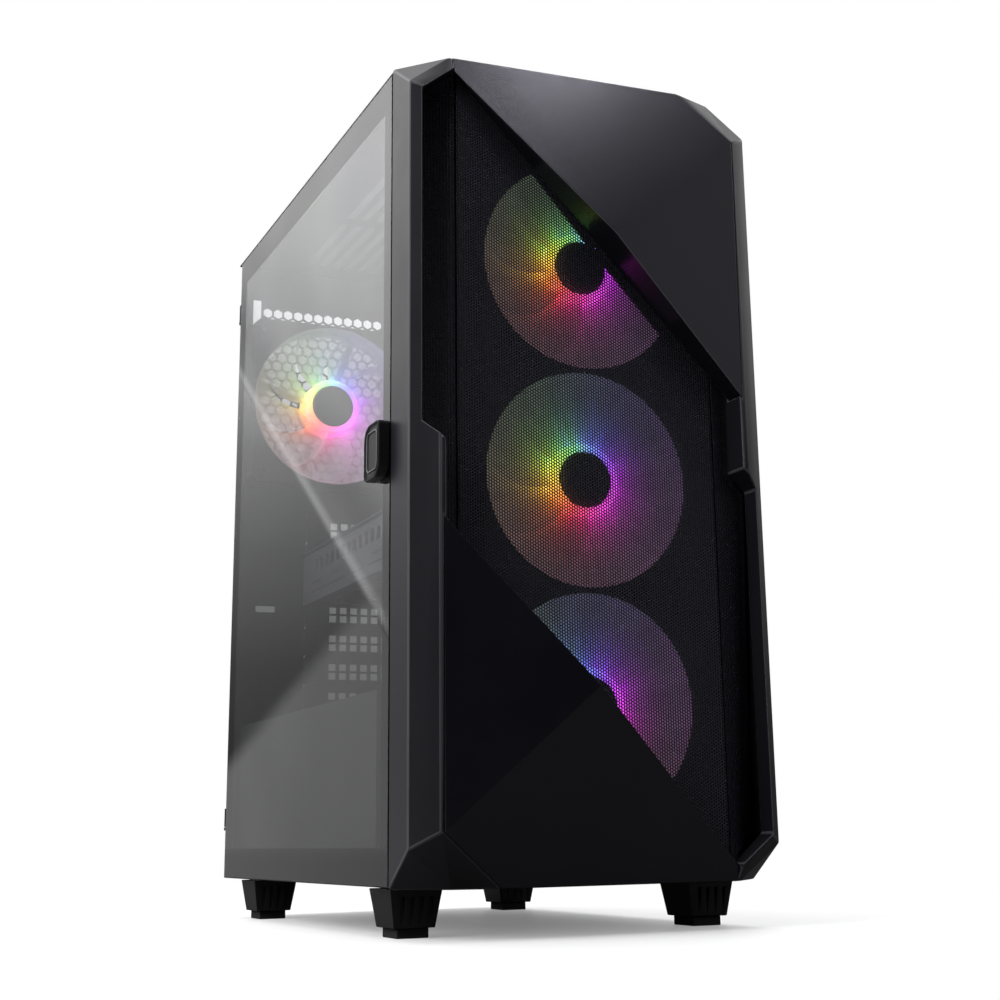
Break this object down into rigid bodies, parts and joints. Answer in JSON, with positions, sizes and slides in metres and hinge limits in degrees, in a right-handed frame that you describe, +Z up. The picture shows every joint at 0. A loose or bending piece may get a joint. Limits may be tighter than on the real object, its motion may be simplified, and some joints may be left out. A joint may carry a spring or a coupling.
{
  "type": "desktop computer tower",
  "caption": "Desktop computer tower with a faceted mesh front, hinged glass side door, lit case fans, main board, graphics card and power supply inside.",
  "frame": {"origin": "middle of the whole object's footprint, on the surface that the feet stand on", "axes": "the front cover faces -Y, the glass door is on the -X side, +Z is up"},
  "size_m": [0.2144, 0.395, 0.462],
  "materials": {
    "steel_black": "satin black powder coat, fine grain",
    "plastic_black": "matt black moulded plastic",
    "rubber_pad": "dull black rubber",
    "plastic_frame": "satin charcoal moulded plastic",
    "plastic_facet": "satin charcoal plastic with a soft gloss",
    "mesh_steel": "black painted perforated steel",
    "tinted_glass": "lightly tinted tempered glass",
    "glass_border": "black border bonded behind the glass",
    "screw_steel": "plain turned steel",
    "filter_mesh": "fine black nylon dust mesh",
    "plastic_button": "smooth black plastic",
    "fan_black": "matt black glass-filled plastic",
    "fan_blades": "frosted translucent blades lit from the hub in rainbow colours",
    "fan_dark": "satin black plastic blades",
    "circuit_board": "black solder resist with satin parts",
    "brass_post": "turned brass",
    "port_steel": "plain stamped steel",
    "heat_spreader": "black anodised aluminium",
    "cooler_fins": "plain aluminium fins",
    "plastic_shroud": "satin black plastic",
    "drive_metal": "cast and stamped aluminium",
    "cable_sleeve": "black ribbon cable"
  },
  "bodies": {
    "chassis": {"bottom_pan": "steel_black", "roof_panel": "steel_black", "front_plate": "steel_black", "rear_panel": "steel_black", "motherboard_tray": "steel_black", "psu_shroud": "steel_black", "foot_front_left": "plastic_black", "foot_front_right": "plastic_black", "foot_rear_left": "plastic_black", "foot_rear_right": "plastic_black", "foot_pads": "rubber_pad", "door_magnets": "screw_steel", "hinge_brackets": "steel_black", "io_module": "plastic_black", "usb_ports": "screw_steel", "audio_jacks": "plastic_black", "fan_top_frame": "fan_black", "fan_middle_frame": "fan_black", "fan_bottom_frame": "fan_black", "fan_rear_frame": "fan_black", "rear_fan_screws": "screw_steel", "motherboard": "circuit_board", "board_standoffs": "brass_post", "io_shield": "port_steel", "memory_sticks": "heat_spreader", "cooler_heatsink": "cooler_fins", "cooler_fan_frame": "fan_black", "graphics_board": "circuit_board", "graphics_shroud": "plastic_shroud", "slot_covers": "steel_black", "psu_case": "steel_black", "psu_inlet": "plastic_black", "drive_cage": "steel_black", "hard_drive": "drive_metal", "power_cables": "cable_sleeve"},
    "front_cover": {"front_frame": "plastic_frame", "cover_pegs": "plastic_frame", "facet_upper": "plastic_facet", "facet_lower": "plastic_facet", "front_mesh": "mesh_steel"},
    "door": {"door_glass": "tinted_glass", "door_frame": "glass_border", "door_handle": "plastic_black", "handle_bolt": "screw_steel"},
    "side_cover": {"side_panel": "steel_black", "side_panel_screws": "screw_steel"},
    "roof_filter": {"top_filter": "plastic_black", "top_filter_mesh": "filter_mesh"},
    "floor_filter": {"psu_filter": "plastic_black"},
    "power_key": {"power_button": "plastic_button"},
    "reset_key": {"reset_button": "plastic_button"},
    "rocker": {"psu_switch": "plastic_button"},
    "rotor_top": {"fan_top_rotor": "fan_blades"},
    "rotor_middle": {"fan_middle_rotor": "fan_blades"},
    "rotor_bottom": {"fan_bottom_rotor": "fan_blades"},
    "rotor_rear": {"fan_rear_rotor": "fan_blades"},
    "rotor_cooler": {"cooler_rotor": "fan_blades"},
    "rotor_card_front": {"graphics_rotor_front": "fan_dark"},
    "rotor_card_rear": {"graphics_rotor_rear": "fan_dark"},
    "rotor_supply": {"psu_rotor": "fan_dark"}
  },
  "joints": [
    {"name": "door_hinge", "type": "hinge", "parent": "chassis", "child": "door", "pos_m": [-0.09835, 0.1855, 0.243], "axis": [0, 0, 1], "range_deg": [-110, 0]},
    {"name": "front_cover_pull", "type": "slide", "parent": "chassis", "child": "front_cover", "axis": [0, -1, 0], "range_m": [0, 0.05]},
    {"name": "side_cover_slide", "type": "slide", "parent": "chassis", "child": "side_cover", "axis": [0, 1, 0], "range_m": [0, 0.015]},
    {"name": "roof_filter_lift", "type": "slide", "parent": "chassis", "child": "roof_filter", "axis": [0, 0, 1], "range_m": [0, 0.03]},
    {"name": "floor_filter_slide", "type": "slide", "parent": "chassis", "child": "floor_filter", "axis": [0, 1, 0], "range_m": [0, 0.14]},
    {"name": "power_button_press", "type": "slide", "parent": "chassis", "child": "power_key", "axis": [0, 0, -1], "range_m": [0, 0.0012], "stiffness_N_per_m": 300, "springref_m": -0.0005},
    {"name": "reset_button_press", "type": "slide", "parent": "chassis", "child": "reset_key", "axis": [0, 0, -1], "range_m": [0, 0.0012], "stiffness_N_per_m": 200, "springref_m": -0.0005},
    {"name": "rocker_tilt", "type": "hinge", "parent": "chassis", "child": "rocker", "pos_m": [0.03925, 0.1833, 0.1], "axis": [1, 0, 0], "range_deg": [0, 12]},
    {"name": "fan_top_spin", "type": "hinge", "parent": "chassis", "child": "rotor_top", "pos_m": [0.00325, -0.1585, 0.353], "axis": [0, 1, 0], "continuous": true},
    {"name": "fan_middle_spin", "type": "hinge", "parent": "chassis", "child": "rotor_middle", "pos_m": [0.00325, -0.1585, 0.233], "axis": [0, 1, 0], "continuous": true},
    {"name": "fan_bottom_spin", "type": "hinge", "parent": "chassis", "child": "rotor_bottom", "pos_m": [0.00325, -0.1585, 0.113], "axis": [0, 1, 0], "continuous": true},
    {"name": "fan_rear_spin", "type": "hinge", "parent": "chassis", "child": "rotor_rear", "pos_m": [-0.03175, 0.1755, 0.3534], "axis": [0, 1, 0], "continuous": true},
    {"name": "cooler_spin", "type": "hinge", "parent": "chassis", "child": "rotor_cooler", "pos_m": [0.01725, 0.1075, 0.353], "axis": [1, 0, 0], "continuous": true},
    {"name": "card_fan_front_spin", "type": "hinge", "parent": "chassis", "child": "rotor_card_front", "pos_m": [0.00725, 0.0095, 0.216], "axis": [0, 0, 1], "continuous": true},
    {"name": "card_fan_rear_spin", "type": "hinge", "parent": "chassis", "child": "rotor_card_rear", "pos_m": [0.00725, 0.1175, 0.216], "axis": [0, 0, 1], "continuous": true},
    {"name": "supply_fan_spin", "type": "hinge", "parent": "chassis", "child": "rotor_supply", "pos_m": [0.00725, 0.1175, 0.036], "axis": [0, 0, 1], "continuous": true}
  ]
}
